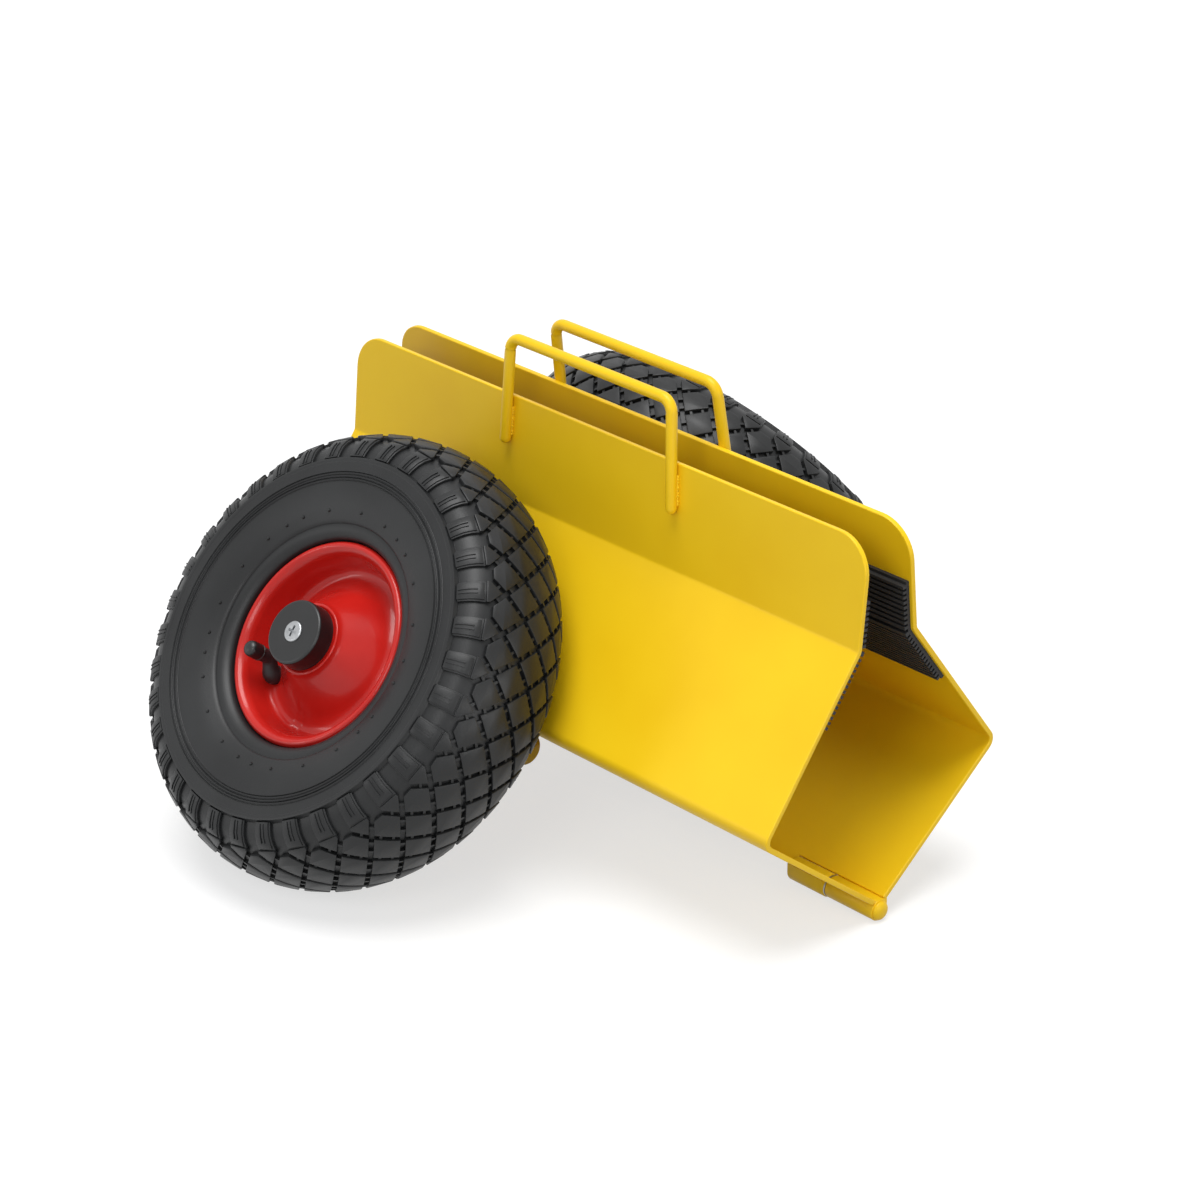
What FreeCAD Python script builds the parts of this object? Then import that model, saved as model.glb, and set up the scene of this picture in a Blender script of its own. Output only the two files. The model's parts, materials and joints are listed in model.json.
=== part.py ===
import FreeCAD, Part
import math
import os

# Door dolly: two bent jaws hinged along the fold at the bottom, each on its own leaning wheel.
# Lengths are millimetres and angles are degrees.
# Every piece is drawn level in a body frame: X runs along the hinge with the front at plus X,
# plus Y is the left side, plus Z is up, and the origin is the middle of the fold line, where the
# middle surfaces of the two base plates meet. Wheel pieces are drawn about the axle instead, with
# the axle's outward direction as their Z. One placement at the end stands the dolly on the ground,
# on its two tyres and the head of its front hinge pin, under the middle of its bounding box.

# Clearances and overruns
overrun = 5.0
weld_gap = 0.05
glue_gap = 0.1
seat_gap = 0.1
running_gap = 0.5

# Jaw plate: base, middle plate nearly square to it, and gripping flange, bent from one sheet.
# The crease between middle plate and flange keeps its place beside the panel slot and under the tyre's crown.
sheet = 3.0
jaw_length = 410.0
base_width = 112.0
base_slope = 38.5
crease_offset = 20.85
crease_drop = 7.45
flange_height = 61.0
flange_lean = 5.5
bend_radius = 4.0
flange_corner_radius = 21.0
butt_gap = 0.3
pitch_halvings = 40

# Hinge: on each end an outer knuckle on the left jaw and an inner knuckle on the right jaw
hinge_drop = 2.5
knuckle_diameter = 12.5
outer_knuckle_length = 35.0
inner_knuckle_length = 27.0
knuckle_clearance = 0.4
leaf_reach = 17.0
leaf_thickness = 4.0
pin_diameter = 8.0
pin_clearance = 0.05
pin_head_length = 3.0
pin_head_dome = 2.0
hinge_washer_thickness = 0.8
hinge_washer_clearance = 0.2
hinge_play = 0.1

# Handle: round bar bent to a loop, welded to the outer face of the flange
handle_diameter = 8.0
handle_leg_spacing = 132.0
handle_lap = 28.0
handle_rise = 38.0
handle_bend_radius = 12.0
handle_weld_width = 9.0
handle_weld_length = 20.0
handle_weld_start = 4.0
weld_flank_share = 0.9

# Grip pad: ribbed mat over the crease, with its ribs along the jaw
pad_above_crease = 28.5
pad_below_crease = 45.0
pad_mat_thickness = 2.0
pad_rib_height = 2.5
pad_rib_pitch = 3.0
pad_rib_width_share = 0.55
pad_end_inset = 2.0

# Axle: round bar welded under the base plate
axle_diameter = 20.0
axle_setback = 69.0
axle_inner_start = 4.0
axle_weld_width = 16.0
axle_weld_length = 34.0
axle_weld_starts_shares = (0.12, 0.58)
axle_collar_wall = 2.0
axle_collar_clearance = 1.5

# Wheel place: space between the jaw and the side of the tyre
jaw_tyre_gap = 7.1

# Hub and ball bearings
hub_length = 76.0
hub_wall = 2.5
hub_step = 2.5
hub_bearing_inset = 0.5
bearing_section = 6.0
bearing_width = 7.0
bearing_ring_wall = 2.0
bearing_ball_diameter = 3.5
bearing_ball_count = 14
bearing_ball_clearance = 0.15
bearing_seal_thickness = 0.6
bearing_seal_inset = 0.3
axle_fit = 0.03
spacer_wall = 1.75

# Hub cap, washer and screw on the axle's outer end
axle_end_inset = 0.3
washer_thickness = 2.0
washer_clearance = 0.2
cap_height = 12.0
cap_edge_radius = 1.5
cap_screw_clearance = 0.3
screw_diameter = 6.0
screw_length = 26.0
screw_head_diameter = 12.0
screw_head_height = 3.0
screw_head_proud = 1.0
screw_head_dome = 0.9
screw_recess_width = 1.4
screw_recess_length = 6.4
screw_recess_depth = 1.8
tapped_hole_depth = 22.0

# Rim: two pressed discs back to back, with a band between their valleys.
# Radii count from the bead seat's inner edge, and stations from the valley.
rim_sheet = 2.0
rim_seat_inner_radius = 50.2
rim_seat_rise = 1.6
rim_flange_rise = 6.0
rim_lip_rise = 2.5
rim_lip_curl = 2.6
rim_valley_depth = 10.7
rim_valley_station = 9.5
rim_seat_width = 17.0
rim_flange_splay = 4.5
rim_collar_inset = 0.5
rim_collar_length = 2.5
rim_lip_bend = 1.8
rim_flange_bend = 3.0
rim_valley_bend = 4.0
rim_cone_bend = 6.0
band_inset = 6.7
band_thickness = 2.0

# Valve in the rim's valley
valve_inset = 7.0
valve_angle = -148.6
valve_boss_diameter = 22.0
valve_boss_height = 5.0
valve_hole = 12.0
valve_plug_height = 2.0
valve_stem_diameter = 8.6
valve_thread_diameter = 7.4
valve_stem_length = 25.5
valve_thread_length = 7.0
valve_cap_diameter = 9.6
valve_cap_thickness = 3.0
valve_cap_dome = 2.0

# Tyre casing on the rim
tyre_diameter = 260.0
tyre_width = 85.0
tread_thickness = 8.4
side_wall_thickness = 6.1
inner_side_share = 0.5
bead_neck_wall = 3.3
bead_width = 9.5
bead_height = 6.1
bead_lean = 2.5
bead_gap = 0.4
heel_gap = 1.5
heel_rise = 0.7
flange_gap = 1.3
lip_gap = 1.3
lip_side_gap = 1.2
bead_ring_overhang = 2.6
bead_ring_rise = 2.9

# Outside of the casing from the crown down, in shares of its half width and of its height over the seat
crown_shares = ((0.353, 0.977), (0.659, 0.913))
shoulder_shares = ((0.885, 0.8235), (0.988, 0.706))
widest_share = 0.584
side_shares = ((0.993, 0.463), (0.859, 0.214))

# Tread: diamonds between slanting grooves over the crown, and lugs with gaps between them on the shoulders.
# Its shares are of the run over the outside of the casing, from the middle of the crown to the side.
tread_pitch_count = 35
tread_start_angle = 2.5
tread_row_share = 0.1775
tread_edge_share = 0.4585
lug_foot_share = 0.7524
tread_groove_width = 2.4
tread_groove_depth = 2.8
lug_gap_width = 9.0
tread_samples = 1000
sewing_slack = 0.001

# Inner tube inside the casing
tube_wall = 1.8
tube_crown_gap = 0.5
tube_side_gap = 1.0
tube_neck_gap = 1.4
tube_waist_inset = 4.5
tube_waist_rise = 4.0
tube_foot_inset = 2.0
tube_foot_gap = 0.6

# Directions, radii and stations worked out from the sizes above
half_length = jaw_length / 2
half_sheet = sheet / 2
axle_depth = half_sheet + weld_gap + axle_diameter / 2
slope = math.radians(base_slope)
lean = math.radians(flange_lean)
middle_height = tyre_diameter / 2 - axle_depth - crease_drop
middle_tilt = math.asin((base_width * math.cos(slope) - crease_offset) / middle_height)
along_base = FreeCAD.Vector(0, -math.cos(slope), math.sin(slope))
under_base = FreeCAD.Vector(0, -math.sin(slope), -math.cos(slope))
up_middle = FreeCAD.Vector(0, math.sin(middle_tilt), math.cos(middle_tilt))
up_flange = FreeCAD.Vector(0, math.sin(lean), math.cos(lean))
out_flange = FreeCAD.Vector(0, -math.cos(lean), math.sin(lean))
along_hinge = FreeCAD.Vector(1, 0, 0)
bend_point = along_base * base_width
crease_point = bend_point + up_middle * middle_height
jaw_station = max(base_width, crease_point.dot(along_base)) + half_sheet
wheel_station = jaw_station + jaw_tyre_gap + tyre_width / 2
wheel_centre = FreeCAD.Vector(-axle_setback, 0, 0) + under_base * axle_depth + along_base * wheel_station
axle_frame = FreeCAD.Placement(wheel_centre, FreeCAD.Rotation(along_hinge, -under_base, along_base, "XYZ"))
handle_foot_height = flange_height - handle_lap
handle_top_height = flange_height + handle_rise
half_hub = hub_length / 2
bearing_outside = axle_diameter + 2 * bearing_section
hub_diameter = bearing_outside + 2 * hub_wall
hub_middle_bore = bearing_outside - 2 * hub_step
spacer_diameter = axle_diameter + 2 * spacer_wall
axle_collar_diameter = axle_diameter + 2 * axle_collar_wall
cap_outer_face = half_hub + cap_height
rim_seat_outer_radius = rim_seat_inner_radius + rim_seat_rise
rim_lip_crown = rim_seat_outer_radius + rim_flange_rise
rim_lip_radius = rim_lip_crown + rim_lip_rise
rim_valley_inner_radius = rim_seat_inner_radius - rim_valley_depth
rim_seat_outer_station = rim_valley_station + rim_seat_width
rim_lip_face = rim_seat_outer_station + rim_flange_splay
rim_collar_station = half_hub - rim_collar_inset - rim_collar_length
band_radius = rim_seat_inner_radius - band_inset
valve_radius = rim_seat_inner_radius - valve_inset
valve_stem_top = rim_valley_station + valve_stem_length
valve_thread_top = valve_stem_top + valve_thread_length
valve_cap_top = valve_thread_top + valve_cap_thickness
tread_pitch = 360 / tread_pitch_count
bearing_start = half_hub - hub_bearing_inset - bearing_width
bearing_end = bearing_start + bearing_width
knuckle_radius = knuckle_diameter / 2
hinge_washer_space = hinge_washer_thickness + 2 * hinge_play
inner_knuckle_end = half_length - outer_knuckle_length - hinge_washer_space
inner_knuckle_start = inner_knuckle_end - inner_knuckle_length
hinge_axis_point = FreeCAD.Vector(0, 0, -hinge_drop)


def line(start, end):
    """Straight edge between two points."""
    return Part.LineSegment(start, end).toShape()


def arc(start, middle, end):
    """Circular edge through three points."""
    return Part.Arc(start, middle, end).toShape()


def rounded_wire(corners):
    """Closed wire through (point, radius) corners, with a tangent arc at each corner that has a radius."""
    starts = []
    ends = []
    rounds = []
    for index, (point, radius) in enumerate(corners):
        before = (corners[index - 1][0] - point).normalize()
        after = (corners[(index + 1) % len(corners)][0] - point).normalize()
        half_angle = before.getAngle(after) / 2
        reach = radius / math.tan(half_angle)
        inset = radius / math.sin(half_angle) - radius
        starts.append(point + before * reach)
        ends.append(point + after * reach)
        rounds.append(point + (before + after).normalize() * inset)
    edges = []
    for index, (point, radius) in enumerate(corners):
        if radius > 0:
            edges.append(arc(starts[index], rounds[index], ends[index]))
        edges.append(line(ends[index], starts[(index + 1) % len(corners)]))
    return Part.Wire(edges)


def strip_corners(points, radii, thickness):
    """Corners of a bent strip of one thickness along a middle line given by its points and middle radii."""
    half = thickness / 2
    normal = (points[1] - points[0]).cross(points[2] - points[1]).normalize()
    sides = ([], [])
    for index, point in enumerate(points):
        into = (point - points[max(index - 1, 0)])
        out = (points[min(index + 1, len(points) - 1)] - point)
        into = into.normalize() if into.Length > 0 else FreeCAD.Vector(out).normalize()
        out = out.normalize() if out.Length > 0 else FreeCAD.Vector(into)
        side = normal.cross(into + out).normalize()
        miter = half / side.dot(normal.cross(into))
        turn = normal.dot(into.cross(out))
        bend = math.copysign(half, turn) if radii[index] > 0 else 0
        sides[0].append((point + side * miter, radii[index] - bend))
        sides[1].append((point - side * miter, radii[index] + bend))
    return sides[0] + sides[1][::-1]


def extrude_x(wire, start, end):
    """Solid of a wire in the YZ plane between two stations along the hinge."""
    return Part.Face(wire).translated(along_hinge * start).extrude(along_hinge * (end - start))


def wheel_point(station, radius):
    """Point of a wheel section, in the plane through the axle."""
    return FreeCAD.Vector(radius, 0, station)


def revolve(wire):
    """Ring or disc of a section turned about the axle."""
    return Part.Face(wire).revolve(FreeCAD.Vector(), FreeCAD.Vector(0, 0, 1), 360)


def tube(inner, outer, start, end):
    """Tube about the axle between two stations, from its inner and outer diameters."""
    corners = ((start, inner), (end, inner), (end, outer), (start, outer))
    return revolve(rounded_wire([(wheel_point(station, diameter / 2), 0) for station, diameter in corners]))


def rod(diameter, start, end):
    """Solid round bar about the axle between two stations."""
    return Part.makeCylinder(diameter / 2, end - start, FreeCAD.Vector(0, 0, start))


def both_ends(shape):
    """The shape with its mirror image in the wheel's middle plane."""
    return [shape, shape.mirror(FreeCAD.Vector(), FreeCAD.Vector(0, 0, 1))]


def other_side(shape):
    """Mirror image of a right-hand shape for the left side."""
    return shape.mirror(FreeCAD.Vector(), FreeCAD.Vector(0, 1, 0))


def hinge_cylinder(diameter, start, end):
    """Round bar about the hinge axis between two stations."""
    return Part.makeCylinder(diameter / 2, end - start, hinge_axis_point + along_hinge * start, along_hinge)


def jaw_plate():
    """Right jaw plate, mitred along the fold, notched for the knuckles, with rounded flange corners."""
    beyond_fold = along_base * -overrun
    top = crease_point + up_flange * flange_height
    middle_bend = bend_radius + half_sheet
    points = [beyond_fold, bend_point, crease_point, top]
    corners = strip_corners(points, [0, middle_bend, middle_bend, 0], sheet)
    plate = extrude_x(rounded_wire(corners), -half_length, half_length)
    past_fold = Part.makeBox(jaw_length + 2 * overrun, base_width, base_width)
    past_fold.translate(FreeCAD.Vector(-half_length - overrun, -butt_gap / 2, -base_width / 2))
    plate = plate.cut(past_fold)
    notch_reach = knuckle_radius + knuckle_clearance - hinge_drop * math.sin(slope)
    notch_section = []
    for reach, depth in ((-overrun, -sheet), (notch_reach, -sheet), (notch_reach, sheet), (-overrun, sheet)):
        notch_section.append((along_base * reach + under_base * depth, 0))
    notch_start = inner_knuckle_start - knuckle_clearance
    notch = extrude_x(rounded_wire(notch_section), notch_start, half_length + overrun)
    plate = plate.cut(notch).cut(notch.mirror(FreeCAD.Vector(), along_hinge))
    corner_edges = []
    for edge in plate.Edges:
        height = (edge.CenterOfMass - crease_point).dot(up_flange)
        at_end = abs(abs(edge.CenterOfMass.x) - half_length) < half_sheet
        across = abs(edge.Length - sheet) < half_sheet
        if at_end and across and height > flange_height - half_sheet:
            corner_edges.append(edge)
    return plate.makeFillet(flange_corner_radius, corner_edges)


def handle():
    """Right handle: a bent bar with round feet and its two welds on the flange."""
    stand_off = half_sheet + weld_gap + handle_diameter / 2
    origin = crease_point + out_flange * stand_off
    half_span = handle_leg_spacing / 2
    foot = handle_foot_height + handle_diameter / 2
    top = handle_top_height - handle_diameter / 2
    bend = handle_bend_radius
    slack = bend * (1 - math.sqrt(0.5))

    def at(across, height):
        return origin + along_hinge * across + up_flange * height

    path = Part.Wire([
        line(at(-half_span, foot), at(-half_span, top - bend)),
        arc(at(-half_span, top - bend), at(-half_span + slack, top - slack), at(-half_span + bend, top)),
        line(at(-half_span + bend, top), at(half_span - bend, top)),
        arc(at(half_span - bend, top), at(half_span - slack, top - slack), at(half_span, top - bend)),
        line(at(half_span, top - bend), at(half_span, foot)),
    ])
    section = Part.Wire(Part.Circle(at(-half_span, foot), up_flange, handle_diameter / 2).toShape())
    bar = path.makePipeShell([section], True, True)
    flank = weld_flank_share * handle_diameter / 2
    flank_height = math.sqrt((handle_diameter / 2) ** 2 - flank ** 2)
    weld_start = foot + handle_weld_start
    plate_face = half_sheet - stand_off
    for across in (-half_span, half_span):
        bar = bar.fuse(Part.makeSphere(handle_diameter / 2, at(across, foot)))
        weld_corners = []
        for side, rise in ((-handle_weld_width / 2, plate_face), (handle_weld_width / 2, plate_face),
                           (flank, -flank_height), (-flank, -flank_height)):
            weld_corners.append((at(across + side, weld_start) + out_flange * rise, 0))
        bar = bar.fuse(Part.Face(rounded_wire(weld_corners)).extrude(up_flange * handle_weld_length))
    return bar.removeSplitter()


def grip_pad():
    """Right grip pad: a mat that follows the inner face round the crease, with ribs along the jaw."""
    off_middle = FreeCAD.Vector(0, math.cos(middle_tilt), -math.sin(middle_tilt))
    turn = middle_tilt - lean
    back_radius = bend_radius + sheet + glue_gap
    tangent = (bend_radius + half_sheet) * math.tan(turn / 2)
    start = crease_point - up_middle * pad_below_crease + off_middle * (half_sheet + glue_gap)
    lower_run = pad_below_crease - tangent
    bend_start = start + up_middle * lower_run
    bend_centre = bend_start - off_middle * back_radius
    bend_run = back_radius * turn
    upper_run = pad_above_crease - tangent
    full_run = lower_run + bend_run + upper_run

    def at(run, height):
        if run < lower_run:
            return start + up_middle * run + off_middle * height
        angle = min((run - lower_run) / back_radius, turn)
        away = off_middle * math.cos(angle) + up_middle * math.sin(angle)
        past = max(run - lower_run - bend_run, 0)
        return bend_centre + away * (back_radius + height) + up_flange * past

    rib_count = int(full_run // pad_rib_pitch)
    rib_width = pad_rib_pitch * pad_rib_width_share
    rib_top = pad_mat_thickness + pad_rib_height
    first_rib = (full_run - rib_count * pad_rib_pitch + pad_rib_pitch - rib_width) / 2
    front = [at(0, pad_mat_thickness)]
    for index in range(rib_count):
        rib_start = first_rib + index * pad_rib_pitch
        rib_end = rib_start + rib_width
        front += [at(rib_start, pad_mat_thickness), at(rib_start, rib_top)]
        front += [at(rib_end, rib_top), at(rib_end, pad_mat_thickness)]
    front.append(at(full_run, pad_mat_thickness))
    outline = [at(0, 0)] + front + [at(full_run, 0)]
    edges = [line(first, second) for first, second in zip(outline, outline[1:])]
    upper_bend = lower_run + bend_run
    edges.append(line(at(full_run, 0), at(upper_bend, 0)))
    edges.append(arc(at(upper_bend, 0), at(lower_run + bend_run / 2, 0), at(lower_run, 0)))
    edges.append(line(at(lower_run, 0), at(0, 0)))
    return extrude_x(Part.Wire(edges), pad_end_inset - half_length, half_length - pad_end_inset)


def axle():
    """Axle bar about its own line, with two stitch welds on top and a tapped hole in the outer end."""
    inner_end = axle_inner_start - wheel_station
    outer_end = bearing_end - axle_end_inset
    bar = rod(axle_diameter, inner_end, outer_end)
    flank = weld_flank_share * axle_weld_width / 2
    flank_height = math.sqrt((axle_diameter / 2) ** 2 - flank ** 2)
    plate_face = axle_diameter / 2 + weld_gap
    for share in axle_weld_starts_shares:
        weld_start = inner_end + share * base_width
        weld_corners = []
        for side, rise in ((-axle_weld_width / 2, plate_face), (axle_weld_width / 2, plate_face),
                           (flank, flank_height), (-flank, flank_height)):
            weld_corners.append((FreeCAD.Vector(side, rise, weld_start), 0))
        weld = Part.Face(rounded_wire(weld_corners)).extrude(FreeCAD.Vector(0, 0, axle_weld_length))
        bar = bar.fuse(weld)
    hole = rod(screw_diameter + 2 * axle_fit, outer_end - tapped_hole_depth, outer_end + overrun)
    return bar.cut(hole).removeSplitter()


def knuckle(start, end, side):
    """Hinge barrel with a leaf that lies under its own base plate; side is minus one for the left jaw."""
    barrel = hinge_cylinder(knuckle_diameter, start, end)
    leaf_corners = []
    for reach, depth in ((0, half_sheet), (leaf_reach, half_sheet), (leaf_reach, half_sheet + leaf_thickness),
                         (0, half_sheet + leaf_thickness)):
        leaf_corners.append((along_base * reach + under_base * depth, 0))
    leaf = extrude_x(rounded_wire(leaf_corners), start, end)
    if side < 0:
        leaf = other_side(leaf)
    bore = hinge_cylinder(pin_diameter + 2 * pin_clearance, start - overrun, end + overrun)
    return barrel.fuse(leaf).cut(bore).removeSplitter()


def hinge_pin():
    """Front hinge pin with its domed head past the outer knuckle."""
    head_start = half_length + hinge_play
    head = hinge_cylinder(knuckle_diameter, head_start, head_start + pin_head_length)
    rim_edges = [edge for edge in head.Edges if edge.CenterOfMass.x > head_start + pin_head_length / 2
                 and len(edge.Vertexes) == 1]
    head = head.makeFillet(pin_head_dome, rim_edges)
    shank = hinge_cylinder(pin_diameter, inner_knuckle_start, head_start + pin_head_length / 2)
    return head.fuse(shank).removeSplitter()


def hinge_washer():
    """Thin ring between the two front knuckles."""
    start = inner_knuckle_end + hinge_play
    end = start + hinge_washer_thickness
    hole = hinge_cylinder(pin_diameter + 2 * hinge_washer_clearance, start - overrun, end + overrun)
    return hinge_cylinder(knuckle_diameter, start, end).cut(hole)


def crown_arc(crown_radius, side):
    """Edge from the middle of a crown to a (station, radius) side, level at the crown."""
    station, radius = side
    drop = crown_radius - radius
    bend = (station ** 2 + drop ** 2) / (2 * drop)
    half_angle = math.atan2(station, bend - drop) / 2
    middle = (bend * math.sin(half_angle), crown_radius - bend + bend * math.cos(half_angle))
    return arc(wheel_point(0, crown_radius), wheel_point(*middle), wheel_point(*side))


def side_arc(side, low):
    """Edge from a section's widest place down to a lower (station, radius) place, upright at its start."""
    inset = side[0] - low[0]
    drop = side[1] - low[1]
    bend = (inset ** 2 + drop ** 2) / (2 * inset)
    half_angle = math.atan2(drop, bend - inset) / 2
    middle = (side[0] - bend + bend * math.cos(half_angle), side[1] - bend * math.sin(half_angle))
    return arc(wheel_point(*side), wheel_point(*middle), wheel_point(*low))


def whole_section(half_edges):
    """Closed wire of half a section's edges and their mirror image in the wheel's middle plane."""
    mirrored = [edge.mirror(FreeCAD.Vector(), FreeCAD.Vector(0, 0, 1)) for edge in half_edges]
    return Part.Wire(Part.__sortEdges__(half_edges + mirrored))


def bead_toe():
    """Place of the casing's bead toe on the rim's seat, as (station, radius)."""
    station = rim_seat_outer_station - heel_gap - bead_width
    along = (station - rim_valley_station) / (rim_seat_outer_station - rim_valley_station)
    seat = rim_seat_inner_radius + along * (rim_seat_outer_radius - rim_seat_inner_radius)
    return station, seat + rim_sheet / 2 + bead_gap


def bead_neck():
    """Place inside the casing beside the rim's lip, as (station, radius)."""
    station = rim_lip_face - rim_lip_curl - lip_side_gap - bead_neck_wall
    return station, rim_lip_radius + rim_sheet / 2 + lip_gap


def inner_side():
    """Widest place inside the casing, as (station, radius)."""
    neck_radius = bead_neck()[1]
    rise = inner_side_share * (tyre_diameter / 2 - tread_thickness - neck_radius)
    return tyre_width / 2 - side_wall_thickness, neck_radius + rise


def outside_place(shares):
    """Place on the casing's outside from its shares of the half width and of the height over the seat."""
    height = tyre_diameter / 2 - rim_seat_outer_radius
    return wheel_point(shares[0] * tyre_width / 2, rim_seat_outer_radius + shares[1] * height)


def tyre_outside():
    """Edges of half the casing's outside, from the middle of the crown to the side."""
    crown_edge = outside_place(crown_shares[1])
    shoulder_edge = outside_place(shoulder_shares[1])
    return [
        arc(outside_place((0, 1)), outside_place(crown_shares[0]), crown_edge),
        arc(crown_edge, outside_place(shoulder_shares[0]), shoulder_edge),
        arc(shoulder_edge, outside_place((1, widest_share)), outside_place(side_shares[0])),
    ]


def tyre_section():
    """Closed wire of the tyre casing's section, without its tread."""
    lip_outside = rim_lip_radius + rim_sheet / 2
    lip_inside = rim_lip_face - rim_lip_curl
    toe = bead_toe()
    bead_inside = (toe[0] + bead_lean, toe[1] + bead_height)
    bead = [
        outside_place(side_shares[1]),
        wheel_point(rim_lip_face + bead_ring_overhang, lip_outside + bead_ring_rise),
        wheel_point(lip_inside - lip_side_gap, lip_outside + lip_gap),
        wheel_point(lip_inside - flange_gap, rim_lip_crown + flange_gap),
        wheel_point(rim_seat_outer_station - heel_gap, rim_seat_outer_radius + rim_sheet / 2 + heel_rise),
        wheel_point(*toe),
        wheel_point(*bead_inside),
    ]
    edges = tyre_outside()
    edges.append(line(outside_place(side_shares[0]), outside_place(side_shares[1])))
    bead.append(wheel_point(*bead_neck()))
    edges += [line(first, second) for first, second in zip(bead, bead[1:])]
    edges.append(side_arc(inner_side(), bead_neck()))
    edges.append(crown_arc(tyre_diameter / 2 - tread_thickness, inner_side()))
    return whole_section(edges)


def tread_place(share, depth):
    """Place at a share of the run over the casing's outside, sunk into the casing by a depth."""
    points = Part.Wire(tyre_outside()).discretize(tread_samples + 1)
    index = round(share * tread_samples)
    along = (points[index + 1] - points[index - 1]).normalize()
    return points[index] + along.cross(FreeCAD.Vector(0, 1, 0)) * depth


def turned(shape, angle):
    """Copy of a shape turned about the axle."""
    copy = shape.copy()
    copy.rotate(FreeCAD.Vector(), FreeCAD.Vector(0, 0, 1), angle)
    return copy


def tread_sector(wire, pitches):
    """Solid of a wheel section turned through a number of tread pitches, centred on the section's plane."""
    angle = pitches * tread_pitch
    start = turned(Part.Face(wire), -angle / 2)
    return start.revolve(FreeCAD.Vector(), FreeCAD.Vector(0, 0, 1), angle)


def tread_floor():
    """Closed wire of the section that the tread's grooves stop at, straight between its corners."""
    places = []
    share = tread_row_share / 2
    while share < 1 - tread_row_share / 2:
        places.append(tread_place(share, tread_groove_depth))
        share += tread_row_share
    edges = [line(wheel_point(0, places[0].x), places[0])]
    edges += [line(first, second) for first, second in zip(places, places[1:])]
    edges.append(line(places[-1], wheel_point(0, places[-1].x)))
    return whole_section(edges)


def tread_cutter():
    """Grooves and lug gaps of one pitch: bars through the outside, less everything under the grooves' floor."""
    edge = tread_place(tread_edge_share, 0)
    foot = tread_place(lug_foot_share, 0)
    reach_pitches = tread_edge_share / tread_row_share / 2
    sideways = edge.x * math.sin(math.radians(reach_pitches * tread_pitch))
    reach = math.hypot(sideways, edge.z) + tread_groove_width / 2
    bar = Part.makeBox(tyre_diameter / 2, tread_groove_width, 2 * reach)
    bar.translate(FreeCAD.Vector(foot.x, -tread_groove_width / 2, -reach))
    bar.rotate(FreeCAD.Vector(), FreeCAD.Vector(1, 0, 0), -math.degrees(math.atan2(sideways, edge.z)))
    gap = Part.makeBox(tyre_diameter / 2, lug_gap_width, tyre_width)
    gap.translate(FreeCAD.Vector(foot.x, -lug_gap_width / 2, edge.z))
    neighbours = math.ceil(reach_pitches - 0.5)
    bars = []
    for index in range(-neighbours, neighbours + 1):
        bars += [turned(one, index * tread_pitch) for one in both_ends(bar)]
    for side in (-0.5, 0.5):
        bars += [turned(one, side * tread_pitch) for one in both_ends(gap)]
    return bars[0].multiFuse(bars[1:]).cut(tread_sector(tread_floor(), 2 * neighbours + 4))


def tyre():
    """Tyre casing: the tread is cut in one pitch, and the faces of that pitch are repeated round the wheel."""
    one = tread_sector(tyre_section(), 1).cut(tread_cutter())
    ends = [turned(Part.makeLine(FreeCAD.Vector(), FreeCAD.Vector(0, 1, 0)), side * tread_pitch)
            for side in (-0.5, 0.5)]
    across = [end.Vertexes[1].Point for end in ends]
    faces = []
    for face in one.Faces:
        at_end = [max(abs(vertex.Point.dot(way)) for vertex in face.Vertexes) < sewing_slack for way in across]
        if not any(at_end):
            faces.append(face)
    ring = []
    for index in range(tread_pitch_count):
        ring += [turned(face, tread_start_angle + index * tread_pitch) for face in faces]
    casing = Part.makeCompound(ring)
    casing.sewShape(sewing_slack)
    return Part.Solid(casing.Shells[0]).removeSplitter()


def tube_section():
    """Closed wire of the inner tube's outer section."""
    toe = bead_toe()
    side = (inner_side()[0] - tube_side_gap, inner_side()[1])
    neck = (bead_neck()[0] - tube_neck_gap, bead_neck()[1])
    waist = (toe[0] - tube_waist_inset, toe[1] + tube_waist_rise)
    foot_station = rim_valley_station - rim_sheet / 2 - tube_foot_inset
    foot = (foot_station, band_radius + band_thickness / 2 + tube_foot_gap)
    edges = [crown_arc(tyre_diameter / 2 - tread_thickness - tube_crown_gap, side), side_arc(side, neck)]
    edges.append(line(wheel_point(*neck), wheel_point(*waist)))
    edges.append(line(wheel_point(*waist), wheel_point(*foot)))
    edges.append(line(wheel_point(*foot), wheel_point(0, foot[1])))
    return whole_section(edges)


def inner_tube():
    """Hollow inner tube."""
    outside = tube_section()
    inside = outside.makeOffset2D(-tube_wall)
    return revolve(outside).cut(revolve(inside))


def rim_disc():
    """Outer rim disc: curled lip, flange, bead seat, valley, cone and collar round the hub."""
    collar_radius = hub_diameter / 2 + seat_gap + rim_sheet / 2
    points = [
        wheel_point(rim_lip_face - rim_lip_curl, rim_lip_radius),
        wheel_point(rim_lip_face, rim_lip_crown),
        wheel_point(rim_seat_outer_station, rim_seat_outer_radius),
        wheel_point(rim_valley_station, rim_seat_inner_radius),
        wheel_point(rim_valley_station, rim_valley_inner_radius),
        wheel_point(rim_collar_station, collar_radius),
        wheel_point(rim_collar_station + rim_collar_length, collar_radius),
    ]
    radii = [0, rim_lip_bend, rim_flange_bend, rim_valley_bend, rim_cone_bend, rim_flange_bend, 0]
    return revolve(rounded_wire(strip_corners(points, radii, rim_sheet)))


def valve_place(shape):
    """Move a piece drawn about the axle to the valve's own line."""
    angle = math.radians(valve_angle)
    return shape.translated(FreeCAD.Vector(math.cos(angle), math.sin(angle), 0) * valve_radius)


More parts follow.
